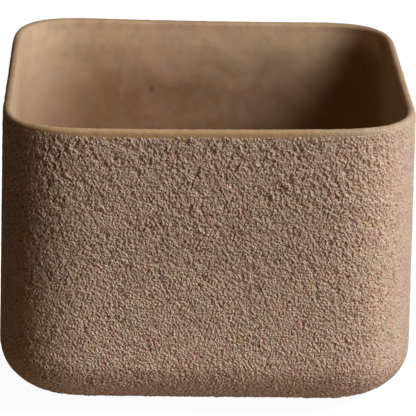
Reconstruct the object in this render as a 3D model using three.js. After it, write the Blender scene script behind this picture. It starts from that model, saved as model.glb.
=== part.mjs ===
// A square cover pot with soft corners, for a house plant in its nursery pot. A slip-cast clay shell
// carries a coat of sand grit outside and a thin waterproof lining inside, and stands on four felt pads.
// Millimetres, +Z up. The origin is on the floor, under the middle of the pot.
import * as THREE from "three";

// Driving dimensions: the outer form
const WIDTH = 140; // across the coated faces, where the pot is widest
const HEIGHT = 101; // from the clay foot to the rim
const CORNER = 34; // how far each plan corner reaches along its two faces
const CORNER_POWER = 3; // superellipse exponent of a plan corner: 2 is a circle, more is squarer
const BASE_REACH = 26.5; // base rounding, in from the face
const BASE_RISE = 19; // base rounding, up from the foot
const LEAN = 1.1; // how far each wall has leaned in by the rim

// Driving dimensions: the clay, its lip and its foot
const WALL = 3; // coated face to bare inside
const FLOOR = 4; // clay floor
const LIP_BAND = 2.3; // bare clay left between the coat and the rim
const LIP_SETBACK = 0.15; // the bare lip lies this far inside the coat's face
const LIP_OUTER_ROUND = 1.4;
const LIP_INNER_ROUND = 1.45;
const RECESS_HALF = 22; // half the width of the hollow under the foot
const RECESS_DEPTH = 1.2;

// Driving dimensions: the coats and the pads
const COAT = 0.6; // sand grit and binder
const COAT_EDGE = 0.4; // bevel where the coat thins out at its top edge
const LINING = 0.4; // brushed sealing coat
const LINING_EDGE = 1.5; // height over which the lining thins out below the lip
const BOND = 0.1; // glue line between any two layers
const PAD_RADIUS = 7;
const PAD_THICKNESS = 2;
const PAD_EDGE = 0.5; // rounding of a pad's worn lower edge
const PAD_PLACE = 32; // each pad's middle, out from the pot's middle along X and Y

// Smoothness of the facets
const CORNER_STEPS = 10; // steps round one plan corner
const ROUND_STEPS = 4; // steps along half of a quarter round in a profile
const PAD_SIDES = 24;
const PAD_EDGE_STEPS = 2; // steps along half of a pad's worn edge
const TIGHTEST_CORNER = 12; // the small plans under the foot and on the floor keep corners this soft
const SAME_POINT = 1e-6; // profile points nearer than this are one point

// Worked out from them
const HALF = WIDTH / 2;
const CLAY_INSET = COAT + BOND; // the coat's bed in the clay
const LINING_INSET = WALL + BOND;
const LIP_FOOT = HEIGHT - LIP_BAND;
const QUARTER = Math.PI / 2;
const MIDDLE = new THREE.Vector2(0, 0);

const CLAY = new THREE.MeshStandardMaterial({ color: 0xb58a62, roughness: 0.8, metalness: 0 });
const GRIT = new THREE.MeshStandardMaterial({ color: 0xc4a48c, roughness: 0.95, metalness: 0 });
const SEALER = new THREE.MeshStandardMaterial({ color: 0xbd9878, roughness: 0.65, metalness: 0 });
const FELT = new THREE.MeshStandardMaterial({ color: 0x5a5048, roughness: 1, metalness: 0 });

// How far the leaning wall has come in at a height above the foot.
function leanAt(height) {
  const climbed = (height - BASE_RISE) / (HEIGHT - BASE_RISE);
  return LEAN * Math.max(climbed, 0);
}

// The pot's plan a given inset inside its widest one: a square whose corners are quarter
// superellipses, anticlockwise from above. Corners tighten by the inset, so that walls stay even.
function planAt(inset) {
  const half = HALF - inset;
  const corner = Math.max(CORNER - inset, TIGHTEST_CORNER);
  const points = [];
  for (let side = 0; side < 4; side++) {
    for (let step = 0; step <= CORNER_STEPS; step++) {
      const angle = (QUARTER * step) / CORNER_STEPS;
      const x = half - corner + corner * Math.cos(angle) ** (2 / CORNER_POWER);
      const y = half - corner + corner * Math.sin(angle) ** (2 / CORNER_POWER);
      points.push(new THREE.Vector2(x, y).rotateAround(MIDDLE, side * QUARTER));
    }
  }
  return points;
}

// A profile's points, without the repeats where one stretch of it meets the next.
function pointsAlong(profile) {
  const points = profile.getPoints(ROUND_STEPS);
  return points.filter((point, index) => point.distanceTo(points.at(index - 1)) > SAME_POINT);
}

// Lofts a profile in (inset, height) round the plan. A profile runs outwards under the foot, up the
// outside and down the inside. One that begins and ends on the pot's axis makes a cup, and a closed
// one makes a sleeve.
function loftedRound(profile, closed) {
  const positions = [];
  const rings = pointsAlong(profile).map((point) => {
    const first = positions.length / 3;
    if (point.x === HALF) {
      positions.push(0, 0, point.y);
      return [first];
    }
    const plan = planAt(point.x + leanAt(point.y));
    plan.forEach((corner) => positions.push(corner.x, corner.y, point.y));
    return plan.map((_, index) => first + index);
  });

  const triangles = [];
  const strips = closed ? rings.length : rings.length - 1;
  for (let strip = 0; strip < strips; strip++) {
    const lower = rings[strip];
    const upper = rings[(strip + 1) % rings.length];
    const around = Math.max(lower.length, upper.length);
    for (let here = 0; here < around; here++) {
      const next = (here + 1) % around;
      if (lower.length > 1) {
        triangles.push(lower[here], lower[next], upper[next % upper.length]);
      }
      if (upper.length > 1) {
        triangles.push(lower[here % lower.length], upper[next], upper[here]);
      }
    }
  }
  const geometry = new THREE.BufferGeometry();
  geometry.setAttribute("position", new THREE.Float32BufferAttribute(positions, 3));
  geometry.setIndex(triangles);
  geometry.computeVertexNormals();
  return geometry;
}

// The base rounding at a depth inside the coated face: a quarter ellipse about one shared centre.
function baseRound(path, sideDepth, floorDepth, downwards) {
  const across = BASE_REACH - sideDepth;
  const up = BASE_RISE - floorDepth;
  const ends = downwards ? [Math.PI, 1.5 * Math.PI] : [1.5 * Math.PI, Math.PI];
  path.absellipse(BASE_REACH, BASE_RISE, across, up, ...ends, !downwards);
}

// The clay shell: a foot with a shallow hollow, a bed for the coat, the bare lip, wall and floor.
function clayProfile() {
  const footEdge = BASE_REACH + BOND;
  const recessInset = HALF - RECESS_HALF;
  const lipInset = LIP_SETBACK + LIP_OUTER_ROUND;
  const insideRound = WALL - LIP_INNER_ROUND;
  const path = new THREE.Path();
  path.moveTo(HALF, RECESS_DEPTH);
  path.lineTo(recessInset, RECESS_DEPTH);
  path.lineTo(recessInset - RECESS_DEPTH, 0);
  path.lineTo(footEdge, 0);
  path.lineTo(footEdge, CLAY_INSET);
  baseRound(path, CLAY_INSET, CLAY_INSET, false);
  path.lineTo(CLAY_INSET, LIP_FOOT - CLAY_INSET);
  path.lineTo(LIP_SETBACK, LIP_FOOT);
  path.absellipse(
    lipInset, HEIGHT - LIP_OUTER_ROUND, LIP_OUTER_ROUND, LIP_OUTER_ROUND, Math.PI, QUARTER, true,
  );
  path.absellipse(
    insideRound, HEIGHT - LIP_INNER_ROUND, LIP_INNER_ROUND, LIP_INNER_ROUND, QUARTER, 0, true,
  );
  baseRound(path, WALL, FLOOR, true);
  path.lineTo(HALF, FLOOR);
  return path;
}

// The grit coat: an even sleeve from the edge of the foot to a bevelled edge under the lip.
function coatProfile() {
  const top = LIP_FOOT - CLAY_INSET - BOND;
  const path = new THREE.Path();
  path.moveTo(BASE_REACH, 0);
  baseRound(path, 0, 0, false);
  path.lineTo(0, top - COAT_EDGE);
  path.lineTo(COAT_EDGE, top);
  path.lineTo(COAT, top);
  baseRound(path, COAT, COAT, true);
  return path;
}

// The lining: a cup on the clay's inside, thinning out just below the lip.
function liningProfile() {
  const floor = FLOOR + BOND;
  const edge = HEIGHT - LIP_INNER_ROUND - BOND;
  const path = new THREE.Path();
  path.moveTo(HALF, floor);
  path.lineTo(BASE_REACH, floor);
  baseRound(path, LINING_INSET, floor, false);
  path.lineTo(LINING_INSET, edge);
  path.lineTo(LINING_INSET + LINING, edge - LINING_EDGE);
  baseRound(path, LINING_INSET + LINING, floor + LINING, true);
  path.lineTo(HALF, floor + LINING);
  return path;
}

// A felt pad: a die-cut disc whose lower edge is worn round.
function padGeometry() {
  const path = new THREE.Path();
  path.moveTo(0, 0);
  path.lineTo(PAD_RADIUS - PAD_EDGE, 0);
  path.absarc(PAD_RADIUS - PAD_EDGE, PAD_EDGE, PAD_EDGE, -QUARTER, 0, false);
  path.lineTo(PAD_RADIUS, PAD_THICKNESS);
  path.lineTo(0, PAD_THICKNESS);
  const geometry = new THREE.LatheGeometry(path.getPoints(PAD_EDGE_STEPS), PAD_SIDES);
  return geometry.rotateX(QUARTER);
}

function named(name, geometry, material) {
  const mesh = new THREE.Mesh(geometry, material);
  mesh.name = name;
  return mesh;
}

const shell = new THREE.Group();
shell.position.z = PAD_THICKNESS + BOND;
shell.add(named("pot_body", loftedRound(clayProfile(), false), CLAY));
shell.add(named("grit_coat", loftedRound(coatProfile(), true), GRIT));
shell.add(named("inner_lining", loftedRound(liningProfile(), false), SEALER));

const pot = new THREE.Group();
pot.add(shell);
for (const [row, y] of [["front", -PAD_PLACE], ["back", PAD_PLACE]]) {
  for (const [column, x] of [["left", -PAD_PLACE], ["right", PAD_PLACE]]) {
    const pad = named(`foot_pad_${row}_${column}`, padGeometry(), FELT);
    pad.position.set(x, y, 0);
    pot.add(pad);
  }
}

export default pot;
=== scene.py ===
# %% [markdown]
# # A square clay pot with a coat of sand grit
# The pot is a cover for a house plant in its nursery pot. A cast clay shell with soft corners carries
# a rough coat of sand outside and a thin sealing coat inside, and stands on four felt pads.
# The frame holds the same pot as plain solids at its real size. Here each solid gets the surface
# that the eye sees: real grains on the coat, a hand-wiped lip, a mottled inside and fuzzy felt.
# Every length is in metres, so real sizes are written in millimetres times `MM`.

import bpy
import numpy as np
from mathutils import Matrix, Vector


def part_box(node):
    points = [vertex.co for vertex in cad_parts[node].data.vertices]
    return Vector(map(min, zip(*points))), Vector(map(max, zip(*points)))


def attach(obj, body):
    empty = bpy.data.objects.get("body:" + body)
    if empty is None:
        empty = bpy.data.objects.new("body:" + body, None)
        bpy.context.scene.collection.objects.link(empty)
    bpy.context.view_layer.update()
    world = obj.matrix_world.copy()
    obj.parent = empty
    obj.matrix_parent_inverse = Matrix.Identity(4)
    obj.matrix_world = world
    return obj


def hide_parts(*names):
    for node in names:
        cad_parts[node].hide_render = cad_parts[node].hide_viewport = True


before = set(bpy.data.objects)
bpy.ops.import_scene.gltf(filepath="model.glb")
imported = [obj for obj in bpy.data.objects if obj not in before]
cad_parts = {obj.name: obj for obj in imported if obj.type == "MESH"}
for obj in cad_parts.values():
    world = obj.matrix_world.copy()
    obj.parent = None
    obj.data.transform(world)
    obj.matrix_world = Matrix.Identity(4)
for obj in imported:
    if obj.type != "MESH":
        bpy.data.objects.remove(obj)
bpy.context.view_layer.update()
MM = 0.001
print("solids:", ", ".join(sorted(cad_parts)))

# %% [markdown]
# ## The pot's own measures
# What the solids can tell is read from them: the width, the height and how high the foot stands.
# The drawing's own radii and thicknesses follow where they are first needed.

# %% Measures of the form
clay_low, clay_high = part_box("pot_body")
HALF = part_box("grit_coat")[1].x  # half the width across the coated faces
FOOT = clay_low.z  # the clay foot stands this far above the floor
HEIGHT = clay_high.z - FOOT  # foot to rim
RIM = FOOT + HEIGHT
print(f"pot {2 * HALF / MM:.1f} mm wide, {HEIGHT / MM:.1f} mm high")

# %% [markdown]
# ## The camera
# The camera stands where the photograph was taken: a long lens about a metre away, a little left of
# the middle and looking down. It could be set by eye, but the angles below were solved from the
# pot's outline, so they are written as angles and a distance, and the three axes are built from them.

# %% Camera
IMAGE_SIDE = 416  # pixels
SENSOR = 36.0  # mm
LENS_IN_PIXELS = 2960.5
CAMERA_AZIMUTH, CAMERA_ELEVATION, CAMERA_ROLL = np.radians([-1.61, 18.66, 1.21])
CAMERA_DISTANCE = 1.0438
MIDDLE_LEFT_BY, MIDDLE_DOWN_BY = 4.05, 1.01  # pixels from the picture's middle to the pot's


def from_angles(azimuth, elevation):
    """The unit vector towards an azimuth, from the front to the right, and an elevation."""
    flat = np.cos(elevation)
    return np.array([np.sin(azimuth) * flat, -np.cos(azimuth) * flat, np.sin(elevation)])


back = from_angles(CAMERA_AZIMUTH, CAMERA_ELEVATION)
level = np.array([np.cos(CAMERA_AZIMUTH), np.sin(CAMERA_AZIMUTH), 0])
right = np.cos(CAMERA_ROLL) * level + np.sin(CAMERA_ROLL) * np.cross(back, level)
up = np.cross(back, right)
pixel = CAMERA_DISTANCE / LENS_IN_PIXELS  # metres at the pot
middle = np.array([0, 0, FOOT + HEIGHT / 2])
aim = middle + pixel * (MIDDLE_LEFT_BY * right + MIDDLE_DOWN_BY * up)

lens = bpy.data.cameras.new("camera")
lens.sensor_width = SENSOR
lens.lens = SENSOR * LENS_IN_PIXELS / IMAGE_SIDE
camera = bpy.data.objects.new("camera", lens)
turned = Matrix(np.stack([right, up, back], axis=1).tolist()).to_4x4()
camera.matrix_world = Matrix.Translation(Vector(aim + CAMERA_DISTANCE * back)) @ turned
bpy.context.scene.collection.objects.link(camera)
bpy.context.scene.camera = camera
print(f"lens {lens.lens:.0f} mm, one pixel is {pixel / MM:.2f} mm at the pot")

# %% [markdown]
# ## Carrying a profile round the pot
# Clay, coat and lining are the same form at different depths. A lathe would make it round and a
# bevelled cube would lose the even walls, so the form is worked out: a profile of (inset, height)
# points is carried along the plan, a square with superelliptic corners that tighten with the inset.

# %% Plan of the pot
CORNER = 34 * MM  # how far a plan corner reaches along each face
CORNER_POWER = 3  # superellipse exponent of a plan corner
CORNER_STEPS = 4000


def corner_curve(angle):
    """A quarter superellipse of unit size: across = sin(angle)^(2/n) and out = cos(angle)^(2/n)."""
    power = 2 / CORNER_POWER
    return np.sin(angle) ** power, np.cos(angle) ** power


INTO_CORNER = np.linspace(0, np.pi / 4, CORNER_STEPS)  # from a face's end to a corner's middle
across, out = corner_curve(INTO_CORNER)
BEND = CORNER * np.append(0, np.cumsum(np.hypot(np.diff(across), np.diff(out))))
FACE = HALF - CORNER  # half a side's straight stretch
HALF_SIDE = FACE + BEND[-1]  # from a side's middle to a corner's middle


def columns_round(per_side):
    """Evenly spaced columns round the pot, from the middle of one corner on: for each, its share of
    the straight stretch from -1 to 1, its angle into the corner, and its side as a quarter turn."""
    place = np.linspace(-1, 1, per_side + 1)[:-1] * HALF_SIDE
    share = np.clip(place / FACE, -1, 1)
    into = np.interp(np.abs(place) - FACE, BEND, INTO_CORNER)
    return np.tile(share, 4), np.tile(into, 4), np.repeat(np.arange(4), per_side)


print(f"one side is {2 * HALF_SIDE / MM:.1f} mm round, corner to corner")

# %% Lines of a profile
BASE_REACH = 26.5 * MM  # base rounding, in from the face
BASE_RISE = 19 * MM  # base rounding, up from the foot
ARC_STEPS = 400


def straight(start, end, count):
    """Points along a straight stretch of a profile, its end left out."""
    return np.linspace(start, end, count, endpoint=False)


def arc(centre, radii, start, end):
    """A stretch of ellipse in (inset, height), from a start to an end angle in degrees: the centre
    plus the radii times cosine and sine."""
    angle = np.radians(np.linspace(start, end, ARC_STEPS))
    return np.add(centre, np.multiply(radii, np.stack([np.cos(angle), np.sin(angle)], axis=1)))


def base_round(side_depth, floor_depth, start, end):
    """The base rounding at a depth inside the coated face, as a quarter ellipse on one centre."""
    radii = BASE_REACH - side_depth, BASE_RISE - floor_depth
    return arc((BASE_REACH, BASE_RISE), radii, start, end)


def lengths_along(line):
    """How far along a line each point lies: the sum of the steps up to it."""
    return np.append(0, np.cumsum(np.linalg.norm(np.diff(line, axis=0), axis=1)))


def evenly(line, count):
    """The same line with count points, an equal distance apart along it."""
    lengths = lengths_along(line)
    places = np.linspace(0, lengths[-1], count)
    return np.stack([np.interp(places, lengths, axis) for axis in line.T], axis=1)


base_line = base_round(0, 0, 270, 180)
print(f"the base rounding is {lengths_along(base_line)[-1] / MM:.1f} mm long")

# %% Profile carried round
TIGHTEST_CORNER = 12 * MM  # corners of the small plans under the foot
LEAN = 1.1 * MM  # how far each wall has leaned in by the rim
RIM_TWIST = 0.5 * MM  # the kiln lifted two opposite corners of the rim and dropped the others
RIM_TILT, RIM_NOD = 0.16 * MM, 0.15 * MM  # its right side and its back stand this much higher
RIM_SAG = 0.87 * MM  # the rim sags between its corners
SAG_LEVEL = 0.35  # where a sagging rim crosses its own mean height


def carried_round(profile, columns):
    """Carries (inset, height) points along the plan: the straight stretch is HALF - inset - corner,
    and the corner curve is scaled by the corner's size. Walls lean in with height, and the kiln's
    warp lifts the rim by a tilt of x and y, a twist of x*y and a sag of (x*y)^2, all times height
    squared. Gives columns x profile points x 3."""
    inset, height = profile.T
    inset = inset + LEAN * np.maximum((height - BASE_RISE) / (HEIGHT - BASE_RISE), 0)
    corner = np.maximum(CORNER - inset, TIGHTEST_CORNER)
    face = HALF - inset - corner
    share, into, side = (column[:, None] for column in columns)
    across, out = corner_curve(into)
    x = share * face + np.sign(share) * across * corner
    y = -face - out * corner
    turn = side * np.pi / 2
    placed_x = x * np.cos(turn) - y * np.sin(turn)
    placed_y = x * np.sin(turn) + y * np.cos(turn)
    diagonal = placed_x * placed_y / HALF**2
    warp = (RIM_TILT * placed_x + RIM_NOD * placed_y) / HALF
    warp += RIM_SAG * (diagonal**2 - SAG_LEVEL) - RIM_TWIST * diagonal
    return np.stack([placed_x, placed_y, FOOT + height + warp * (height / HEIGHT) ** 2], axis=2)


def outward(grid):
    """Unit normals of a grid that goes right round the pot: the cross product of its directions."""
    around = np.roll(grid, -1, axis=0) - np.roll(grid, 1, axis=0)
    normal = np.cross(around, np.gradient(grid, axis=1))
    return normal / np.linalg.norm(normal, axis=2, keepdims=True)


rim_rise = carried_round(np.array([[0, HEIGHT]]), columns_round(per_side=60))[:, 0, 2] - RIM
print(f"the kiln moved the rim by {rim_rise.min() / MM:.2f} to {rim_rise.max() / MM:.2f} mm")

# %% [markdown]
# ## From a grid of points to a closed mesh
# Every piece is a grid that closes on itself one way and ends in a flat cap the other way: a cup
# wraps round the pot and is capped under its foot and on its floor, and a panel of the coat wraps
# round its own thickness and is capped at two corners. One function makes both. It also lays out
# a map of the surface, because a grid knows its own places better than any unwrapping can.

# %% Faces and map of a grid
MAP_NAME = "OFBake"
MAP_GRID = 0.8  # share of the map's height that the grid takes; the caps share the rest
MAP_CAP = 0.18  # side of a cap's place on the map
CAP_STARTS = 0, 0.5  # where the two caps' places start along the map


def grid_faces(columns, rows, wraps):
    """The faces of a columns x rows grid that wraps in its columns or its rows: the four points of
    each cell, as numbers, and the points of the cap at each open end."""
    index = np.arange(columns * rows).reshape(columns, rows)
    if wraps == "columns":
        ring = np.append(index, index[:1], axis=0)
        caps = [index[::-1, 0], index[:, -1]]
    else:
        ring = np.append(index, index[:, :1], axis=1)
        caps = [index[0], index[-1, ::-1]]
    return np.stack([ring[:-1, :-1], ring[1:, :-1], ring[1:, 1:], ring[:-1, 1:]], axis=2), caps


def cell_places(around, rows):
    """Each cell's four corners on the map: its numbers in the grid, scaled to the grid's share."""
    corner = np.array([[0, 0], [1, 0], [1, 1], [0, 1]])
    cell = np.stack(np.meshgrid(np.arange(around), np.arange(rows), indexing="ij"), axis=2)
    return ((cell[:, :, None] + corner) / [around, rows] * [1, MAP_GRID]).reshape(-1, 2)


def cap_places(points, start):
    """A cap's points on the map: its two widest directions, scaled into its own square."""
    spread = points - points.mean(axis=0)
    directions = np.linalg.svd(spread, full_matrices=False)[2][:2]
    flat = spread @ directions.T
    flat = (flat - flat.min(axis=0)) / np.ptp(flat, axis=0).max()
    return flat * MAP_CAP + [start, 1 - MAP_CAP]


# %% Grid to mesh
def closed_piece(name, grid, wraps, flat_rows=(), normals=None, **values):
    """Makes a closed mesh of a columns x rows grid that wraps in its columns or its rows, with one
    many-sided cap at each open end. flat_rows are rows shaded flat, normals are shading normals
    shared with a neighbouring piece, and values are numbers per point."""
    quads, caps = grid_faces(*grid.shape[:2], wraps)
    around, rows = quads.shape[:2]
    points = grid.reshape(-1, 3)
    loops = np.concatenate([quads.ravel(), *caps])
    counts = np.append(np.full(around * rows, 4), [len(cap) for cap in caps])
    smooth = np.ones((around, rows), bool)
    smooth[:, list(flat_rows)] = False
    cap_maps = [cap_places(points[cap], start) for cap, start in zip(caps, CAP_STARTS)]

    mesh = bpy.data.meshes.new(name)
    mesh.vertices.add(len(points))
    mesh.vertices.foreach_set("co", points.ravel())
    mesh.loops.add(len(loops))
    mesh.loops.foreach_set("vertex_index", loops)
    mesh.polygons.add(len(counts))
    mesh.polygons.foreach_set("loop_start", np.append(0, np.cumsum(counts)[:-1]))
    mesh.polygons.foreach_set("loop_total", counts)
    mesh.update(calc_edges=True)
    mesh.polygons.foreach_set("use_smooth", np.append(smooth.ravel(), [False] * len(caps)))
    layer = mesh.uv_layers.new(name=MAP_NAME)
    layer.uv.foreach_set("vector", np.concatenate([cell_places(around, rows), *cap_maps]).ravel())
    for label, numbers in values.items():
        attribute = mesh.attributes.new(label, "FLOAT", "POINT")
        attribute.data.foreach_set("value", np.asarray(numbers, np.float32).ravel())
    if normals is not None:
        mesh.normals_split_custom_set_from_vertices(normals.reshape(-1, 3))
    piece = bpy.data.objects.new(name, mesh)
    bpy.context.scene.collection.objects.link(piece)
    print(f"{name}: {2 * around * rows} triangles and two caps")
    return piece


def finished(piece, material, slot, *nodes):
    """Gives a piece its material and its place in the frame, and hides the nodes it stands for. slot
    is not used.
    """
    piece.data.materials.append(material)
    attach(piece, "root")
    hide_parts(*nodes)


# %% [markdown]
# ## Colours and nodes
# Colours are written as the eye names them, in sRGB, and turned to the linear light that a shader
# mixes. One function adds any node, so that a material reads as a list of what it is made of. A node
# may be given as another one's input: its first output in use is meant then.

# %% Colour and node helpers
def linear(code):
    """An sRGB hex colour as linear red, green, blue and full alpha."""
    channels = [int(code[place:place + 2], 16) / 255 for place in (1, 3, 5)]
    return [c / 12.92 if c <= 0.04045 else ((c + 0.055) / 1.055) ** 2.4 for c in channels] + [1.0]


def add_node(tree, kind, inputs, **settings):
    """Adds one node. settings are its own properties. inputs go by number, or by name among the
    sockets in use, and each is a value, an output of another node, or a node."""
    made = tree.nodes.new("ShaderNode" + kind)
    for name, value in settings.items():
        setattr(made, name, value)
    sockets = dict(enumerate(made.inputs))
    sockets |= {socket.name: socket for socket in reversed(made.inputs.values()) if socket.enabled}
    for name, value in inputs.items():
        if isinstance(value, bpy.types.Node):
            value = next(output for output in value.outputs if output.enabled)
        if isinstance(value, bpy.types.NodeSocket):
            tree.links.new(value, sockets[name])
        else:
            sockets[name].default_value = value
    return made


def between(start, end):
    """The range of a change that begins at one value and is complete at another, by socket name."""
    return {"From Min": start, "From Max": end}


EASED = {"interpolation_type": "SMOOTHSTEP"}  # such a change starts and ends gently


def new_material(name):
    """An empty material with its node tree and the object's own coordinates."""
    material = bpy.data.materials.new(name)
    material.use_nodes = True
    tree = material.node_tree
    tree.nodes.clear()
    place = add_node(tree, "TexCoord", {}).outputs["Object"]
    return material, tree, place


# %% [markdown]
# ## The grit coat's finish
# The coat is sand in a mineral binder, sprayed on and left raw, so it is quite matt. The eye gets its
# colour from the sand, a pinkish tan: single grains are paler or browner, small groups of them warmer
# or cooler, and the pits hold reddish dust, with painted shade in them that doubles at the foot. Light
# and shade are painted in too: painted shade high on the left and along the far left, a duller, greyer
# right side where the windows fall on it, painted light on the foot and painted shade on its lowest
# edge, and the foot is dusty. A picture of sand would repeat, so the tints come from noise in space,
# and the grain attribute, the height of the real relief, finds the pits.

# %% Colour of the sand
GRIT_SAND = linear("#dbbba1")
GRIT_PALE = linear("#e8ded0")
GRIT_BROWN = linear("#c39a7c")
# reddish dust in the pits, partly painted shade there
GRIT_PIT = linear("#b4623f")


def sand_colour(tree, grains, at_foot):
    """Tan sand, mixed with pale and brown by each grain's own lot, and with reddish dust and painted
    shade by the depth of the pits, twice as much of it at the foot to draw grains in its shade."""
    lot = add_node(tree, "SeparateColor", {"Color": grains.outputs["Color"]}).outputs
    pale = add_node(tree, "MapRange", {"Value": lot["Red"], **between(0.55, 1.0), "To Max": 0.4})
    brown = add_node(tree, "MapRange", {"Value": lot["Green"], **between(0.6, 1.0), "To Max": 0.3})
    relief = add_node(tree, "Attribute", {}, attribute_name="grain").outputs["Fac"]
    pits = add_node(tree, "MapRange", {"Value": relief, **between(0.3, -1.8), "To Max": 0.5})
    # painted shade in the pits, doubled at the foot to draw grains in its shade
    pit_tint_and_shade = add_node(tree, "Math", {0: pits, 1: at_foot, 2: pits}, operation="MULTIPLY_ADD")
    colour = GRIT_SAND
    for share, tone in [(pale, GRIT_PALE), (brown, GRIT_BROWN), (pit_tint_and_shade, GRIT_PIT)]:
        colour = add_node(tree, "Mix", {"Factor": share, "A": colour, "B": tone}, data_type="RGBA")
    return colour


# %% Patches and painted light and shade on the coat
PATCH_WIDTH = 4.5 * MM
# painted shade: the coat is painted darker high up on the left of the front, and along the far left
HIGH_UP = between(FOOT + 0.15 * HEIGHT, FOOT + 0.65 * HEIGHT)
LEFT_OF_CORNER = between(0.85 * HALF, 0.35 * HALF)
FAR_LEFT = between(-0.45 * HALF, -0.85 * HALF)
# painted shade on the lowest edge of the foot, where the pot meets the floor
SHADED_FOOT_EDGE = between(FOOT + 1.5 * MM, FOOT + 4.5 * MM)


def patches_and_painted_light(tree, place, axes, at_foot):
    """How light the coat is: the product of its patches, of painted shade high on the left and along
    the far left, of painted light on the foot and of painted shade on the edge under it."""
    patches = add_node(tree, "TexNoise", {"Vector": place, "Scale": 1 / PATCH_WIDTH, "Detail": 3.0})
    lightness = add_node(tree, "MapRange", {
        "Value": patches, **between(0.3, 0.7), "To Min": 0.9, "To Max": 1.08})
    high_up = add_node(tree, "MapRange", {"Value": axes["Z"], **HIGH_UP}, **EASED)
    leftwards = add_node(tree, "MapRange", {"Value": axes["X"], **LEFT_OF_CORNER}, **EASED)
    high_left = add_node(tree, "Math", {0: high_up, 1: leftwards}, operation="MULTIPLY")
    # painted shade high on the left, a little lighter elsewhere
    painted_shade_high_left = add_node(tree, "MapRange", {"Value": high_left, "To Min": 1.06, "To Max": 0.86})
    # painted shade along the far left side, away from the windows
    far_left = add_node(tree, "MapRange", {
        "Value": axes["X"], **FAR_LEFT, "To Min": 1.0, "To Max": 0.88}, **EASED)
    # painted light on the foot, which the windows barely reach, then painted shade on its lowest edge
    painted_light_at_foot = add_node(tree, "MapRange", {"Value": at_foot, "To Min": 1.0, "To Max": 1.2})
    painted_shade_at_edge = add_node(tree, "MapRange", {"Value": axes["Z"], **SHADED_FOOT_EDGE, "To Min": 0.6})
    for share in (painted_shade_high_left, far_left, painted_light_at_foot, painted_shade_at_edge):
        lightness = add_node(tree, "Math", {0: lightness, 1: share}, operation="MULTIPLY")
    return lightness


# %% Sprayed sand grit
SHELF_DUST = linear("#e6e2e2")
# painted shade: the right side, which faces the windows, is painted duller and greyer
GRIT_RIGHT_DIMMED = linear("#b9a596")
GRAIN_WARM, GRAIN_COOL = linear("#ccb5b2"), linear("#b1bdb4")
GRAIN_WIDTH = 0.9 * MM
GRAIN_DOME = 0.3 * MM
HUE_WIDTH = 3 * MM
FINE_GRIT = 0.72 * MM  # drawn coarser than the real dust, so that it shows at this size
FINE_GRIT_DEPTH = 0.66 * MM
NEAR_FOOT = between(FOOT + 17 * MM, FOOT + 4 * MM)
FAR_RIGHT = between(0.82 * HALF, 0.98 * HALF)
SIDE_SPAN = 0.75, 0.95  # shares of the half width over which a front turns into a side
HUE_SHARE, SPECKLE_SHARE = 0.25, 0.14


def sprayed_sand_grit():
    """Raw mineral grit: single grains differ in tint, pits are darker, patches vary a little, light
    and shade are painted in, and every grain is a small dome under finer grit."""
    material, tree, place = new_material("sprayed_sand_grit")
    axes = add_node(tree, "SeparateXYZ", {"Vector": place}).outputs
    at_foot = add_node(tree, "MapRange", {"Value": axes["Z"], **NEAR_FOOT}, **EASED)
    grains = add_node(tree, "TexVoronoi", {"Vector": place, "Scale": 1 / GRAIN_WIDTH})
    sand = sand_colour(tree, grains, at_foot)
    lightness = patches_and_painted_light(tree, place, axes, at_foot)
    used = add_node(tree, "HueSaturation", {"Value": lightness, "Color": sand})
    dust = add_node(tree, "MapRange", {"Value": at_foot, "To Max": 0.36})
    dusted = add_node(tree, "Mix", {"Factor": dust, "A": used, "B": SHELF_DUST}, data_type="RGBA")
    # painted shade on the right side that faces the windows
    far_right = add_node(tree, "MapRange", {"Value": axes["X"], **FAR_RIGHT, "To Max": 0.4})
    with_right = add_node(tree, "Mix", {
        "Factor": far_right, "A": dusted, "B": GRIT_RIGHT_DIMMED}, data_type="RGBA")
    hues = add_node(tree, "TexNoise", {"Vector": place, "Scale": 1 / HUE_WIDTH, "Detail": 3.0})
    cool = add_node(tree, "MapRange", {"Value": hues, **between(0.35, 0.65)})
    hue = add_node(tree, "Mix", {
        "Factor": cool, "A": GRAIN_WARM, "B": GRAIN_COOL}, data_type="RGBA")
    tinted = with_right
    for share, tint in [(HUE_SHARE, hue), (SPECKLE_SHARE, hues.outputs["Color"])]:
        tinted = add_node(tree, "Mix", {"Factor": share, "A": tinted, "B": tint},
                          data_type="RGBA", blend_type="OVERLAY")
    domes = add_node(tree, "Bump", {
        "Height": grains, "Distance": GRAIN_DOME, "Strength": 1.0}, invert=True)
    fine = add_node(tree, "TexNoise", {"Vector": place, "Scale": 1 / FINE_GRIT, "Detail": 1.0})
    turning_right = between(SIDE_SPAN[0] * HALF, SIDE_SPAN[1] * HALF)
    sharp = add_node(tree, "MapRange", {
        "Value": axes["X"], **turning_right, "To Min": 1.0, "To Max": 0.6})
    bump = add_node(tree, "Bump", {
        "Height": fine, "Distance": FINE_GRIT_DEPTH, "Strength": sharp, "Normal": domes})
    shader = add_node(tree, "BsdfPrincipled", {
        "Base Color": tinted, "Roughness": 1.0, "IOR": 1.5, "Specular IOR Level": 0.05,
        "Normal": bump})
    add_node(tree, "OutputMaterial", {"Surface": shader})
    return material


grit = sprayed_sand_grit()
print("made", grit.name)

# %% [markdown]
# ## The grit coat's grains
# Grain this coarse shows at the outline and throws shadows under a low light, so it is real relief
# and not a bump in the shader. A displace modifier on a cube would need a dense mesh as well, so
# the dense grid is worked out directly, and first comes the smooth face that the grains stand on.

# %% Smooth face of the coat
CELL = 0.29 * MM
COAT_TOP = HEIGHT - 0.9 * MM

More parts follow.
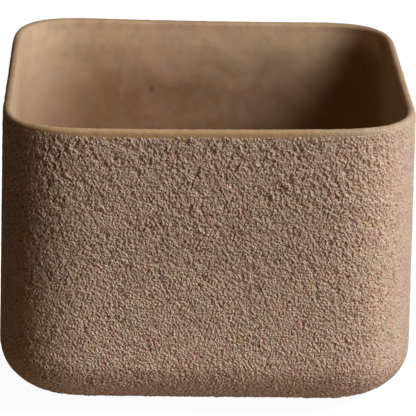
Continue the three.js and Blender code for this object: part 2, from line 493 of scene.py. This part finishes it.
columns_per_side = int(round(2 * HALF_SIDE / CELL))
coat_line = np.concatenate([base_line, [[0, COAT_TOP]]])
coat_line = evenly(coat_line, int(round(lengths_along(coat_line)[-1] / CELL)) + 1)
coat_level = coat_line[:, 1]
coat_smooth = carried_round(coat_line, columns_round(columns_per_side))
coat_normal = outward(coat_smooth)
print(f"{columns_per_side} columns on each side, {len(coat_line)} rows")

# %% [markdown]
# ## From waves to packed grains
# Sprayed sand lies as packed grains with round tops and narrow gaps, coarser towards the rim and
# thinner on the two sides. A random height for each point would give spikes, so fine and coarse
# waves are summed and bent into that shape, and binder fills the deepest pits.

# %% Waves of grain
GRAIN_SHORTEST, GRAIN_MIDDLE, GRAIN_LONGEST = 0.7 * MM, 1.9 * MM, 5 * MM
PATCH_SHORTEST, PATCH_LONGEST = 4 * MM, 16 * MM


def rough_field(points, shortest, longest, seed, waves=60):
    """A rough field at any points, and its slope there: the sum of sine waves with random
    directions and phases and with lengths from shortest to longest, scaled to a mean square of 1.
    It has no seams, because it fills space."""
    draw = np.random.default_rng(seed)
    direction = draw.normal(size=(waves, 3))
    direction /= np.linalg.norm(direction, axis=1, keepdims=True)
    length = shortest * (longest / shortest) ** ((np.arange(waves) + draw.random(waves)) / waves)
    turns = (2 * np.pi * direction / length[:, None]).astype(np.float32)
    phase = draw.uniform(0, 2 * np.pi, waves).astype(np.float32)
    strength = np.float32(np.sqrt(2 / waves))
    flat = points.reshape(-1, 3).astype(np.float32)
    field = np.zeros(len(flat), np.float32)
    slope = np.zeros((3, len(flat)), np.float32)
    for wave in range(waves):
        way = flat @ turns[wave] + phase[wave]
        field += strength * np.sin(way)
        slope += (strength * turns[wave])[:, None] * np.cos(way)
    return field.reshape(points.shape[:-1]), slope.T.reshape(points.shape)


fine, fine_slope = rough_field(coat_smooth, GRAIN_SHORTEST, GRAIN_MIDDLE, seed=11, waves=120)
coarse, coarse_slope = rough_field(coat_smooth, GRAIN_MIDDLE, GRAIN_LONGEST, seed=12, waves=90)
patches, _ = rough_field(coat_smooth, PATCH_SHORTEST, PATCH_LONGEST, seed=14)
print(f"fine waves reach {np.abs(fine).max():.1f}, coarse ones {np.abs(coarse).max():.1f}")

# %% Relief of packed grains
LEVELS = np.array([0, 14 * MM, HEIGHT / 2, HEIGHT])  # heights above the foot for the next two lists
FINE_HEIGHTS = np.array([0.12, 0.073, 0.079, 0.112]) * MM
COARSE_HEIGHTS = np.array([0.08, 0.045, 0.054, 0.112]) * MM
THIN_SIDES = 0.55  # the spray came from the front and the back, so the two sides got less of it
PACKING = 0.18  # packed grains have round tops and narrow gaps
PATCHY = 0.26  # the spray fell more thickly in some places than in others
PATCH_LIMIT = 2  # the wave of the patches counts this far, up and down
DEEPEST_PIT, SIDE_PIT = 0.45 * MM, 0.1 * MM  # binder fills what is deeper, here and on the sides

sideways = np.abs(coat_smooth[:, :, 0]) / HALF
thickness = 1 + PATCHY * np.clip(patches, -PATCH_LIMIT, PATCH_LIMIT)
thickness *= np.interp(sideways, SIDE_SPAN, [1, 1 - THIN_SIDES])
relief, relief_slope = np.zeros(fine.shape), np.zeros(fine_slope.shape)
for wave, slope, heights in [
    (fine, fine_slope, FINE_HEIGHTS),
    (coarse, coarse_slope, COARSE_HEIGHTS),
]:
    height = np.interp(coat_level, LEVELS, heights) * thickness
    relief += height * (wave - PACKING * (wave**2 - 1))
    relief_slope += (height * (1 - 2 * PACKING * wave))[:, :, None] * slope
deepest = np.interp(sideways, SIDE_SPAN, [DEEPEST_PIT, SIDE_PIT])
relief_slope[relief < -deepest] = 0
relief = np.maximum(relief, -deepest)
print(f"relief from {relief.min() / MM:.2f} to {relief.max() / MM:.2f} mm")

# %% [markdown]
# ## The coat's upper edge
# Near the lip the spray thins out along a ragged line that climbs at both sides. A straight cut
# would look machined, so the coat dives under the lip where one more wave says so. The shading
# follows the slope of the waves, which is truer than what the mesh's own faces give.

# %% Ragged upper edge
RAGGED_LINE = HEIGHT - 2.3 * MM
RAGGED_BY = 0.13 * MM
RAG_SHORTEST, RAG_LONGEST = 1 * MM, 4 * MM
RISE_PLACES = [-0.9, -0.55, 0.6, 0.95]  # shares of the half width, from left to right
LEFT_RISE, RIGHT_RISE = 0.7 * MM, 1.1 * MM  # at the sides the spray went higher up the lip
THIN_OUT = 0.6 * MM
DIVE = 0.5 * MM  # the coat's end lies this far under its own face, so that the lip covers it

ragged, _ = rough_field(coat_smooth, RAG_SHORTEST, RAG_LONGEST, seed=13)
edge = RAGGED_LINE + RAGGED_BY * ragged
edge += np.interp(coat_smooth[:, :, 0] / HALF, RISE_PLACES, [LEFT_RISE, 0, 0, RIGHT_RISE])
thin = np.clip((coat_level - edge) / THIN_OUT + 0.5, 0, 1)
thin = np.maximum(thin, np.clip((coat_level - COAT_TOP) / THIN_OUT + 1, 0, 1))
thin = (thin * thin * (3 - 2 * thin))[:, :, None]
coat_bed = coat_smooth - DIVE * thin * coat_normal
coat_outer = coat_bed + (1 - thin) * relief[:, :, None] * coat_normal
uphill = relief_slope - np.sum(relief_slope * coat_normal, axis=2, keepdims=True) * coat_normal
grain_normal = outward(coat_bed) - (1 - thin) * uphill
grain_normal /= np.linalg.norm(grain_normal, axis=2, keepdims=True)
below_rim = (HEIGHT - edge) / MM
print(f"the coat ends {below_rim.min():.1f} to {below_rim.max():.1f} mm below the rim")

# %% [markdown]
# ## Eight panels
# The skin holds over a million triangles, far more than one piece may have, so it is cut along the
# corners and at mid height. Each panel gets a back, and becomes a closed plate as thick as the coat.
# The cuts share their points and their shading, and no cut shows.

# %% Grit panels
COAT = 0.6 * MM
BACK_ROWS = 14
SIDE_NAMES = ["front", "right", "back", "left"]

coat_inner = coat_smooth - COAT * coat_normal
top_row, middle_row = len(coat_line) - 1, len(coat_line) // 2
for side, side_name in enumerate(SIDE_NAMES):
    picked = np.arange(columns_per_side + 1) + side * columns_per_side
    picked %= len(coat_smooth)
    for level_name, low, high in [("lower", 0, middle_row), ("upper", middle_row, top_row)]:
        front_rows = np.arange(low, high + 1)
        back_rows = np.linspace(high, low, BACK_ROWS).astype(int)
        loop, shading, grain = (
            np.concatenate([front[picked][:, front_rows], behind[picked][:, back_rows]], axis=1)
            for front, behind in [
                (coat_outer, coat_inner), (grain_normal, -coat_normal), (fine, fine)]
        )
        panel = closed_piece(
            f"grit_{side_name}_{level_name}", loop, "rows", range(high - low, loop.shape[1]),
            normals=shading, grain=grain)
        finished(panel, grit, "grit", "grit_coat")

# %% [markdown]
# ## The sealing coat
# The inside is brushed with a clear sealer that soaks into the clay and leaves it nearly matt. Near
# the rim the clay stays pale. Shade is painted into its colour: a deeper tone below a line that
# wanders, as the inside falls into shade, and a dark brown painted shadow on the right wall and the
# back wall's right part, which face away from the windows; the left wall, which the windows light,
# gets a duller tone of its own. The wall is mottled, pinkish and greyish, with two dark spots of iron
# and two soft patches of painted shade. The colour is worked out from the place alone, because the
# lip's inner side needs the very same one and a seam would show.

# %% Sealer soaked into the clay, with painted shade
SEAL_HIGH = linear("#f2c79c")
# painted shade: the inside turns to this deeper tone below a wandering line
SEAL_DEEP = linear("#ad825c")
# painted light and shade on the left wall, which the windows light: its own duller tone, most of it
# high up
SEAL_LEFT = linear("#debd97")
SEAL_PINK = linear("#deab91")
SEAL_GREY = linear("#b59e8e")
# the wandering line below which the inside is painted in shade
SHADE_LINE_WANDER = 24 * MM
SHADE_LINE = between(RIM - 7 * MM + SHADE_LINE_WANDER / 2, RIM - 27 * MM + SHADE_LINE_WANDER / 2)
LEFT_WALL = between(-0.38 * HALF, -0.95 * HALF)
SHALLOW = between(RIM - 45 * MM, RIM - 18 * MM)


def soaked_colour_and_shade(tree, axes, mottle, clouds):
    """Sealer colour: the rim's tone, mixed with painted shade below a wandering line (height plus
    mottle), a duller tone of its own on the left wall that the windows light, most of it high up, and
    pink and grey by the mottle and the clouds."""
    shade_line = add_node(tree, "Math", {
        0: mottle, 1: SHADE_LINE_WANDER, 2: axes["Z"]}, operation="MULTIPLY_ADD")
    deep_shade = add_node(tree, "MapRange", {"Value": shade_line, **SHADE_LINE}, **EASED)
    leftwards = add_node(tree, "MapRange", {"Value": axes["X"], **LEFT_WALL}, **EASED)
    shallow = add_node(tree, "MapRange", {
        "Value": axes["Z"], **SHALLOW, "To Min": 0.1, "To Max": 0.75})
    left_wall = add_node(tree, "Math", {0: leftwards, 1: shallow}, operation="MULTIPLY")
    pink = add_node(tree, "MapRange", {"Value": mottle, **between(0.45, 0.7), "To Max": 0.5})
    grey = add_node(tree, "MapRange", {"Value": clouds, **between(0.42, 0.7), "To Max": 0.36})
    colour = SEAL_HIGH
    for share, tone in [
        (deep_shade, SEAL_DEEP), (left_wall, SEAL_LEFT), (pink, SEAL_PINK), (grey, SEAL_GREY),
    ]:
        colour = add_node(tree, "Mix", {"Factor": share, "A": colour, "B": tone}, data_type="RGBA")
    return colour


# %% Painted shadow on the right, iron spots and painted shade
# painted shadow: dark brown on the right wall, which faces away from the windows, and on the back
# wall's right part
SEAL_SHADOW = linear("#907244")
# one brown for the iron spots and for the patches of painted shade
SPOT_BROWN = linear("#6b4c28")
MOTTLE_WIDTH = 18 * MM
CLOUD_WIDTH = 3.4 * MM
SHADOW_SLANT = 0.2  # the painted shadow on the right starts further right lower down, as the shadow's edge slants
SHADOW_EDGE = between(0.44 * HALF + SHADOW_SLANT * RIM, 0.88 * HALF + SHADOW_SLANT * RIM)
BELOW_RIM = between(RIM - 2 * MM, RIM - 12 * MM)
RIGHT_WALL = between(0.88 * HALF, 0.94 * HALF)
BELOW_LIP = between(RIM - 0.6 * MM, RIM - 2.4 * MM)
# two small iron spots, then two wide patches of painted shade
SPOTS = [  # place in mm, radius in mm and strength
    ((-18.4, 66.2, 77.0), 1.9, 0.6),
    ((60.0, 60.0, 87.7), 1.9, 0.5),
    # painted shade near the edge of the shadow on the back wall, and low in the back left corner
    ((25.5, 66.2, 84.5), 17, 0.3),
    ((-52.0, 62.0, 58.0), 23, 0.3),
]


def painted_shadow_right(tree, place, axes):
    """Where shadow is painted on the right: the larger of (right of a slanting line) times (below the
    rim) and (on the right wall) times (below the lip)."""
    slanted = add_node(tree, "VectorMath", {
        0: place, 1: (1, 0, SHADOW_SLANT)}, operation="DOT_PRODUCT")
    rightwards, downwards, on_right_wall, below_lip = (
        add_node(tree, "MapRange", {"Value": value, **zone}, **EASED)
        for value, zone in [(slanted, SHADOW_EDGE), (axes["Z"], BELOW_RIM),
                            (axes["X"], RIGHT_WALL), (axes["Z"], BELOW_LIP)]
    )
    shadow_share = add_node(tree, "Math", {0: rightwards, 1: downwards}, operation="MULTIPLY")
    right_wall = add_node(tree, "Math", {0: on_right_wall, 1: below_lip}, operation="MULTIPLY")
    return add_node(tree, "Math", {0: shadow_share, 1: right_wall}, operation="MAXIMUM")


def sealer_and_shade_colour(tree, place):
    """Sealed clay's colour at a place, and the clouds in it: the sealer's tones with painted shade,
    then painted shadow on the right, then two small dark spots and two patches of painted shade, by
    the distance from each spot."""
    axes = add_node(tree, "SeparateXYZ", {"Vector": place}).outputs
    mottle = add_node(tree, "TexNoise", {
        "Vector": place, "Scale": 1 / MOTTLE_WIDTH, "Detail": 4.0, "Distortion": 0.6})
    clouds = add_node(tree, "TexNoise", {"Vector": place, "Scale": 1 / CLOUD_WIDTH, "Detail": 3.0})
    sealed_and_shaded = soaked_colour_and_shade(tree, axes, mottle, clouds)
    shadow_share = painted_shadow_right(tree, place, axes)
    colour = add_node(tree, "Mix", {"Factor": shadow_share, "A": sealed_and_shaded, "B": SEAL_SHADOW}, data_type="RGBA")
    for spot, radius, strength in SPOTS:
        away = add_node(tree, "VectorMath", {0: place, 1: [MM * axis for axis in spot]},
                        operation="DISTANCE")
        iron_and_painted_shade = add_node(tree, "MapRange", {
            "Value": away, **between(radius * MM, 0.0), "To Max": strength}, **EASED)
        colour = add_node(tree, "Mix", {
            "Factor": iron_and_painted_shade, "A": colour, "B": SPOT_BROWN}, data_type="RGBA")
    return colour, clouds


# %% Brushed sealer
BRUSH_DEPTH = 0.1 * MM


def brushed_sealer():
    """Clear sealer that has sunk into tan clay, with painted shade and shadow in its colour: nearly
    matt, and a little smoother where the clouds lie.
    """
    material, tree, place = new_material("brushed_sealer")
    colour, clouds = sealer_and_shade_colour(tree, place)
    sheen = add_node(tree, "MapRange", {
        "Value": clouds, **between(0.3, 0.7), "To Min": 0.8, "To Max": 0.68})
    bump = add_node(tree, "Bump", {"Height": clouds, "Distance": BRUSH_DEPTH, "Strength": 0.3})
    shader = add_node(tree, "BsdfPrincipled", {
        "Base Color": colour, "Roughness": sheen, "IOR": 1.5, "Specular IOR Level": 0.1,
        "Normal": bump})
    add_node(tree, "OutputMaterial", {"Surface": shader})
    return material


sealer = brushed_sealer()
print("made", sealer.name)

# %% [markdown]
# ## Bare clay
# The lip is the clay itself, wiped with a sponge before firing and matt. At the front its band is a
# warm yellow tan, painted darker at its foot as shade above the coat's edge and paler on the crest as
# light; a painted highlight runs along the crest in broken touches, and towards the right some dust of
# the coat has settled on it. At the sides and the back it has taken the sealer, with painted shade
# where the rounded lip would catch the light. Two colour ramps follow the lip attribute, which runs
# from the band's foot over the crest to the inside; masks would take far more.

# %% Bare clay of the lip
# darker at the band's foot as painted shade above the coat's edge, palest at the crest as painted
# light
LIP_TONES_AND_SHADE = [  # place along the front lip and tone
    (0.0, linear("#ba9164")),
    (0.3, linear("#cca274")),
    (0.52, linear("#d9ad77")),
    (0.8, linear("#cfae89")),
]
# painted highlight along the crest, broken into touches
CREST_HIGHLIGHT = linear("#f6e4cc")
CLAY_FLECK = linear("#8a6343")
SAND_DUST = linear("#d6baa2")
SPONGE_MARK = 3.5 * MM
HIGHLIGHT_TOUCH_WIDTH = 1.1 * MM
FLECK_SPACING = 2.2 * MM


def put_stops(ramp, stops):
    """Puts stops of (position, colour) on a colour ramp, which starts with two."""
    for number, (position, tone) in enumerate(stops):
        stop = ramp[number] if number < len(ramp) else ramp.new(position)
        stop.position, stop.color = position, tone


def bare_clay_colour(tree, place, lip, sandy):
    """The lip's tone with painted shade and light, mixed with a painted highlight on the crest, sand
    dust and ferrous flecks, times the lightness of the sponge marks."""
    tones_and_shade = add_node(tree, "ValToRGB", {"Fac": lip})
    put_stops(tones_and_shade.color_ramp.elements, LIP_TONES_AND_SHADE)
    crest = add_node(tree, "MapRange", {"Value": lip, **between(0.45, 0.54), "To Max": 0.75})
    touches = add_node(tree, "TexNoise", {"Vector": place, "Scale": 1 / HIGHLIGHT_TOUCH_WIDTH, "Detail": 3.0})
    touch = add_node(tree, "MapRange", {"Value": touches, **between(0.48, 0.62)})
    crest_highlight = add_node(tree, "Math", {0: crest, 1: touch}, operation="MULTIPLY")
    flecks = add_node(tree, "TexVoronoi", {"Vector": place, "Scale": 1 / FLECK_SPACING})
    fleck = add_node(tree, "MapRange", {"Value": flecks, **between(0.16, 0.08), "To Max": 0.2})
    colour = tones_and_shade
    for share, tone in [(crest_highlight, CREST_HIGHLIGHT), (sandy, SAND_DUST), (fleck, CLAY_FLECK)]:
        colour = add_node(tree, "Mix", {"Factor": share, "A": colour, "B": tone}, data_type="RGBA")
    marks = add_node(tree, "TexNoise", {
        "Vector": place, "Scale": 1 / SPONGE_MARK, "Detail": 5.0, "Roughness": 0.75})
    wiped = add_node(tree, "MapRange", {
        "Value": marks, **between(0.3, 0.7), "To Min": 0.87, "To Max": 1.13})
    return add_node(tree, "HueSaturation", {"Value": wiped, "Color": colour})


# %% Sponged earthenware
# painted shade: the sealed lip is darkened where its round would catch the light
LIP_PAINTED_SHADE = [  # place along the sealed lip and how much of the sealed colour is left
    (0.0, linear("#d8d8d8")),
    (0.5, linear("#dcd6cc")),
    (0.66, linear("#dcd4c8")),
    (0.84, linear("#f2eee6")),
    (1.0, linear("#ffffff")),
]
CLAY_GRAIN = 0.8 * MM
CLAY_GRAIN_DEPTH = 0.45 * MM
DUSTY_RIGHT = between(0.3 * HALF, 0.8 * HALF)
BEHIND_FRONT = between(-0.85 * HALF, -0.55 * HALF)


def sponged_earthenware():
    """Matt fired clay: bare on the front lip, sealed behind it and inside, with painted shade on the
    sealed lip, rough where dust lies.
    """
    material, tree, place = new_material("sponged_earthenware")
    axes = add_node(tree, "SeparateXYZ", {"Vector": place}).outputs
    lip = add_node(tree, "Attribute", {}, attribute_name="lip").outputs["Fac"]
    grain_of_clay = add_node(tree, "TexNoise", {
        "Vector": place, "Scale": 1 / CLAY_GRAIN, "Detail": 3.0})
    dust_right = add_node(tree, "MapRange", {"Value": axes["X"], **DUSTY_RIGHT})
    dust_low = add_node(tree, "MapRange", {"Value": lip, **between(0.55, 0.38)})
    dust = add_node(tree, "Math", {0: dust_right, 1: dust_low}, operation="MULTIPLY")
    speckle = add_node(tree, "MapRange", {
        "Value": grain_of_clay, **between(0.35, 0.6), "To Min": 0.3, "To Max": 1.0})
    sandy = add_node(tree, "Math", {0: dust, 1: speckle}, operation="MULTIPLY")
    bare = bare_clay_colour(tree, place, lip, sandy)
    sealed_and_shaded, _ = sealer_and_shade_colour(tree, place)
    lip_painted_shade = add_node(tree, "ValToRGB", {"Fac": lip})
    put_stops(lip_painted_shade.color_ramp.elements, LIP_PAINTED_SHADE)
    shaded = add_node(tree, "Mix", {"Factor": 1.0, "A": sealed_and_shaded, "B": lip_painted_shade},
                      data_type="RGBA", blend_type="MULTIPLY")
    behind_front = add_node(tree, "MapRange", {"Value": axes["Y"], **BEHIND_FRONT}, **EASED)
    inwards = add_node(tree, "MapRange", {"Value": lip, **between(0.64, 0.85)}, **EASED)
    sealed = add_node(tree, "Math", {0: behind_front, 1: inwards}, operation="MAXIMUM")
    colour = add_node(tree, "Mix", {"Factor": sealed, "A": bare, "B": shaded}, data_type="RGBA")
    rough = add_node(tree, "MapRange", {"Value": dust, "To Min": 0.35})
    filled = add_node(tree, "MapRange", {"Value": sealed, "To Min": 1.0, "To Max": 0.15})
    strength = add_node(tree, "Math", {0: rough, 1: filled}, operation="MULTIPLY")
    bump = add_node(tree, "Bump", {
        "Height": grain_of_clay, "Distance": CLAY_GRAIN_DEPTH, "Strength": strength})
    shader = add_node(tree, "BsdfPrincipled", {
        "Base Color": colour, "Roughness": 0.9, "IOR": 1.5, "Specular IOR Level": 0.1,
        "Normal": bump})
    add_node(tree, "OutputMaterial", {"Surface": shader})
    return material


earthenware = sponged_earthenware()
print("made", earthenware.name)

# %% [markdown]
# ## The clay shell
# The shell is one cup: a foot with a shallow hollow, a bed for the coat, the rounded lip and the
# inside. Only the lip and the foot stay in sight. The lip is close to the eye, so it has many rows,
# and it wavers by a few hundredths of a millimetre, as a wiped edge does.

# %% Profile of the clay
BOND = 0.1 * MM
WALL = 3 * MM
CLAY_FLOOR = 4 * MM
BED = COAT + BOND
LIP_SETBACK = 0.15 * MM
LIP_FOOT = HEIGHT - 3.6 * MM
LIP_OUTER_ROUND = 1.4 * MM
LIP_INNER_ROUND = 1.45 * MM
RECESS_HALF = 22 * MM
RECESS_DEPTH = 1.2 * MM

recess = HALF - RECESS_HALF
foot_edge = BASE_REACH + BOND
lip_outer = (LIP_SETBACK + LIP_OUTER_ROUND, HEIGHT - LIP_OUTER_ROUND)
lip_inner = (WALL - LIP_INNER_ROUND, HEIGHT - LIP_INNER_ROUND)
under_lip = [
    straight((recess, RECESS_DEPTH), (recess - RECESS_DEPTH, 0), 4),
    straight((recess - RECESS_DEPTH, 0), (foot_edge, 0), 4),
    straight((foot_edge, 0), (foot_edge, BED), 2),
    evenly(base_round(BED, BED, 270, 180), 10),
    straight((BED, BASE_RISE), (BED, LIP_FOOT - BED), 6)[1:],
    straight((BED, LIP_FOOT - BED), (LIP_SETBACK, LIP_FOOT), 2),
]
over_lip = [
    straight((LIP_SETBACK, LIP_FOOT), (LIP_SETBACK, lip_outer[1]), 4),
    evenly(arc(lip_outer, (LIP_OUTER_ROUND, LIP_OUTER_ROUND), 180, 90), 12),
    evenly(arc(lip_inner, (LIP_INNER_ROUND, LIP_INNER_ROUND), 90, 0), 14)[1:],
]
inside = [
    straight((WALL, lip_inner[1]), (WALL, BASE_RISE), 8)[1:],
    evenly(base_round(WALL, CLAY_FLOOR, 180, 270), 10),
]
clay_profile = np.concatenate(under_lip + over_lip + inside)
print(len(clay_profile), "rows from the foot's hollow to the inner floor")

# %% Clay shell
WAVER = 0.025 * MM
WAVER_REACH = 2.4 * MM  # below the rim the edge is even again, where the lining meets it
WAVER_SHORTEST, WAVER_LONGEST = 1.2 * MM, 8 * MM
CLAY_PER_SIDE = 260
HOLLOW_ROWS = range(9)  # the foot's hollow and edge have creases

before, on_lip = (sum(map(len, stretches)) for stretches in (under_lip, over_lip))
along_lip = np.clip((np.arange(len(clay_profile)) - before) / (on_lip - 1), 0, 1)
clay_grid = carried_round(clay_profile, columns_round(CLAY_PER_SIDE))
near_lip = np.clip((clay_profile[:, 1] - HEIGHT + WAVER_REACH) / LIP_OUTER_ROUND, 0, 1)
waver, _ = rough_field(clay_grid, WAVER_SHORTEST, WAVER_LONGEST, seed=21)
clay_grid += (WAVER * near_lip * waver)[:, :, None] * outward(clay_grid)
lip_share = np.broadcast_to(along_lip, clay_grid.shape[:2])
shell = closed_piece("clay_shell", clay_grid, "columns", HOLLOW_ROWS, lip=lip_share)
finished(shell, earthenware, "clay", "pot_body")

# %% [markdown]
# ## The lining
# The lining is a thin cup on the clay's inside. Its upper edge is feathered out over a few millimetres
# and runs into the clay, so no edge shows. It is carried round like the clay, so it lies on it
# everywhere, and brushing leaves it slightly uneven.

# %% Lining
LINING = 0.4 * MM
LINING_FEATHER = 8 * MM
LINING_TUCK = 0.15 * MM  # how far the feathered edge lies under the clay's surface
LINING_UNEVEN = 0.05 * MM
BRUSH_SHORTEST, BRUSH_LONGEST = 8 * MM, 40 * MM
LINING_PER_SIDE = 130

lining_side = WALL + BOND
lining_face = lining_side + LINING
lining_floor = CLAY_FLOOR + BOND
lining_top = HEIGHT - LIP_INNER_ROUND - BOND
feather_end = lining_top - LINING_FEATHER
hidden_rows = np.concatenate([
    evenly(base_round(lining_side, lining_floor, 270, 180), 16),
    straight((lining_side, BASE_RISE), (lining_side, feather_end), 8)[1:],
    straight((lining_side, feather_end), (WALL - LINING_TUCK, lining_top), 6),
])
lining_profile = np.concatenate([
    hidden_rows,
    straight((WALL - LINING_TUCK, lining_top), (lining_face, feather_end), 12),
    straight((lining_face, feather_end), (lining_face, BASE_RISE), 40),
    evenly(base_round(lining_face, lining_floor + LINING, 180, 270), 30),
])
lining_grid = carried_round(lining_profile, columns_round(LINING_PER_SIDE))
uneven, _ = rough_field(lining_grid, BRUSH_SHORTEST, BRUSH_LONGEST, seed=31)
fades_in = np.clip((lining_top - lining_profile[:, 1]) / LINING_FEATHER, 0, 1)
fades_in[:len(hidden_rows)] = 0
lining_grid += (LINING_UNEVEN * fades_in * uneven)[:, :, None] * outward(lining_grid)
lining = closed_piece("sealed_lining", lining_grid, "columns")
finished(lining, sealer, "sealer", "inner_lining")

# %% [markdown]
# ## Felt pads
# Four discs of pressed wool felt keep the clay off the table. Felt has no weave: its surface is a mat
# of fibres, so the disc is roughened all over and its lower edge is rubbed round.

# %% Pressed felt
FELT_GREY = linear("#5d544c")
FELT_PALE = linear("#7b7066")
FIBRE_WIDTH = 0.25 * MM
FIBRE_DEPTH = 0.15 * MM


def pressed_felt():
    """Wool felt: pale fibres over a darker mat, no gloss but a soft sheen at grazing angles."""
    material, tree, place = new_material("pressed_wool_felt")
    fibres = add_node(tree, "TexNoise", {
        "Vector": place, "Scale": 1 / FIBRE_WIDTH, "Detail": 4.0, "Distortion": 2.0})
    pale = add_node(tree, "MapRange", {"Value": fibres, **between(0.4, 0.7)})
    colour = add_node(tree, "Mix", {
        "Factor": pale, "A": FELT_GREY, "B": FELT_PALE}, data_type="RGBA")
    bump = add_node(tree, "Bump", {"Height": fibres, "Distance": FIBRE_DEPTH, "Strength": 0.8})
    shader = add_node(tree, "BsdfPrincipled", {
        "Base Color": colour, "Roughness": 1.0, "IOR": 1.5, "Specular IOR Level": 0.1,
        "Sheen Weight": 0.3, "Normal": bump})
    add_node(tree, "OutputMaterial", {"Surface": shader})
    return material


felt = pressed_felt()
print("made", felt.name)

# %% Pads
PAD_EDGE = 0.5 * MM
PAD_CAP = 1 / 8  # share of the radius that the flat cap in the middle takes
PAD_ROUND = 96
FELT_FUZZ = 0.05 * MM
FUZZ_SHORTEST, FUZZ_LONGEST = 0.7 * MM, 1.6 * MM


def felt_pad(low, high):
    """A felt disc in the box of its solid: rings of a profile turned about the disc's middle."""
    centre, radius, top = (low + high) / 2, (high.x - low.x) / 2, high.z
    cap = PAD_CAP * radius
    out, height = np.concatenate([
        straight((cap, 0), (radius - PAD_EDGE, 0), 14),
        evenly(arc((radius - PAD_EDGE, PAD_EDGE), (PAD_EDGE, PAD_EDGE), -90, 0), 6),
        straight((radius, PAD_EDGE), (radius, top), 5)[1:],
        straight((radius, top), (cap, top), 8),
    ]).T
    turn = np.linspace(0, 2 * np.pi, PAD_ROUND, endpoint=False)[:, None]
    grid = np.stack([
        centre.x + out * np.cos(turn),
        centre.y + out * np.sin(turn),
        np.broadcast_to(height, (PAD_ROUND, len(height))),
    ], axis=2)
    fuzz, _ = rough_field(grid, FUZZ_SHORTEST, FUZZ_LONGEST, seed=41)
    grid = grid + (FELT_FUZZ * fuzz)[:, :, None] * outward(grid)
    grid[:, :, 2] = np.maximum(grid[:, :, 2], 0)
    return grid


for row in ["front", "back"]:
    for column in ["left", "right"]:
        node = f"foot_pad_{row}_{column}"
        pad = closed_piece(f"felt_pad_{row}_{column}", felt_pad(*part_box(node)), "columns")
        finished(pad, felt, "felt", node)

# %% [markdown]
# ## The floor
# The picture has a plain white ground. A sheet that is white to all light would fill every shadow, so
# a Light Path node tells the rays apart: the camera sees a matt white sheet with the pot's shadow on
# it, and to other light it is dull and warm, so that little comes up and the shadows stay brown.

# %% Floor
FLOOR_HALF = 20.0
FLOOR_GLOW = 0.95
FLOOR_SHEET = linear("#6c6c6c")
FLOOR_TO_LIGHT = linear("#a08366")


def seen_rays(tree):
    """1 for camera, glossy and transmission rays, which see the white ground, and 0 for others."""
    rays = add_node(tree, "LightPath", {}).outputs
    mirrored = add_node(tree, "Math", {0: rays["Is Glossy Ray"], 1: rays["Is Transmission Ray"]},
                        operation="MAXIMUM")
    return add_node(tree, "Math", {0: rays["Is Camera Ray"], 1: mirrored}, operation="MAXIMUM")


def white_sheet():
    """White to the rays that see it, less the pot's shadow; dull to diffuse light."""
    material, tree, _ = new_material("white_paper_sheet")
    sheet = add_node(tree, "BsdfDiffuse", {"Color": FLOOR_SHEET})
    glow = add_node(tree, "Emission", {"Strength": FLOOR_GLOW})
    paper = add_node(tree, "AddShader", {0: sheet, 1: glow})
    dull = add_node(tree, "BsdfDiffuse", {"Color": FLOOR_TO_LIGHT})
    either = add_node(tree, "MixShader", {"Fac": seen_rays(tree), 1: dull, 2: paper})
    add_node(tree, "OutputMaterial", {"Surface": either})
    return material


sheet_mesh = bpy.data.meshes.new("floor")
quarters = [(-1, -1), (1, -1), (1, 1), (-1, 1)]
sheet_mesh.from_pydata([(x * FLOOR_HALF, y * FLOOR_HALF, 0) for x, y in quarters], [], [(0, 1, 2, 3)])
sheet_mesh.materials.append(white_sheet())
floor = bpy.data.objects.new("floor", sheet_mesh)
bpy.context.scene.collection.objects.link(floor)
print("floor", 2 * FLOOR_HALF, "m square")

# %% [markdown]
# ## Windows and air
# Slightly cool daylight comes from two windows at the front right: a high one that shapes the grain,
# and a low one that reaches under the rounded base, which the high one alone leaves dark. One window
# alone left the base too dark. Each is an area lamp as large as the angle that it fills, because a
# point lamp or a sun would draw hard shadows. Very dim warm air fills the rest, and the camera sees
# it white.

# %% Window light
LAMP_DISTANCE = 2.5
LAMP_TINT = (0.94, 1.0, 1.06)  # the windows let in slightly cool daylight
WINDOWS = [  # name; azimuth, elevation, width, height in degrees; level on a card that faces it
    ("high_window", 64, 39, 28, 26, 0.93),
    ("low_window", 62, 2, 24, 8, 0.23),
]

for name, azimuth, elevation, wide, high, level in WINDOWS:
    towards = Vector(from_angles(*np.radians([azimuth, elevation])))
    lamp = bpy.data.lights.new(name, "AREA")
    lamp.shape = "RECTANGLE"
    lamp.color = LAMP_TINT
    lamp.size, lamp.size_y = 2 * LAMP_DISTANCE * np.tan(np.radians([wide, high]) / 2)
    lamp.energy = level * np.pi**2 * LAMP_DISTANCE**2
    window = bpy.data.objects.new(name, lamp)
    window.location = Vector(middle) + LAMP_DISTANCE * towards
    window.rotation_euler = towards.to_track_quat("Z", "Y").to_euler()
    bpy.context.scene.collection.objects.link(window)
    print(f"{name}: {lamp.energy:.0f} W at {LAMP_DISTANCE} m")

# %% Air
AIR_LEVEL = 0.002
AIR_TINT = linear("#ffd8b4")
WHITE = linear("#ffffff")

world = bpy.data.worlds.new("air")
bpy.context.scene.world = world
world.use_nodes = True
air = world.node_tree
air.nodes.clear()
dim = add_node(air, "Background", {"Color": AIR_TINT, "Strength": AIR_LEVEL})
white = add_node(air, "Background", {"Color": WHITE, "Strength": 1.0})
either = add_node(air, "MixShader", {"Fac": seen_rays(air), 1: dim, 2: white})
add_node(air, "OutputWorld", {"Surface": either})
bpy.context.scene.view_settings.view_transform = "Standard"
print("air level", AIR_LEVEL)
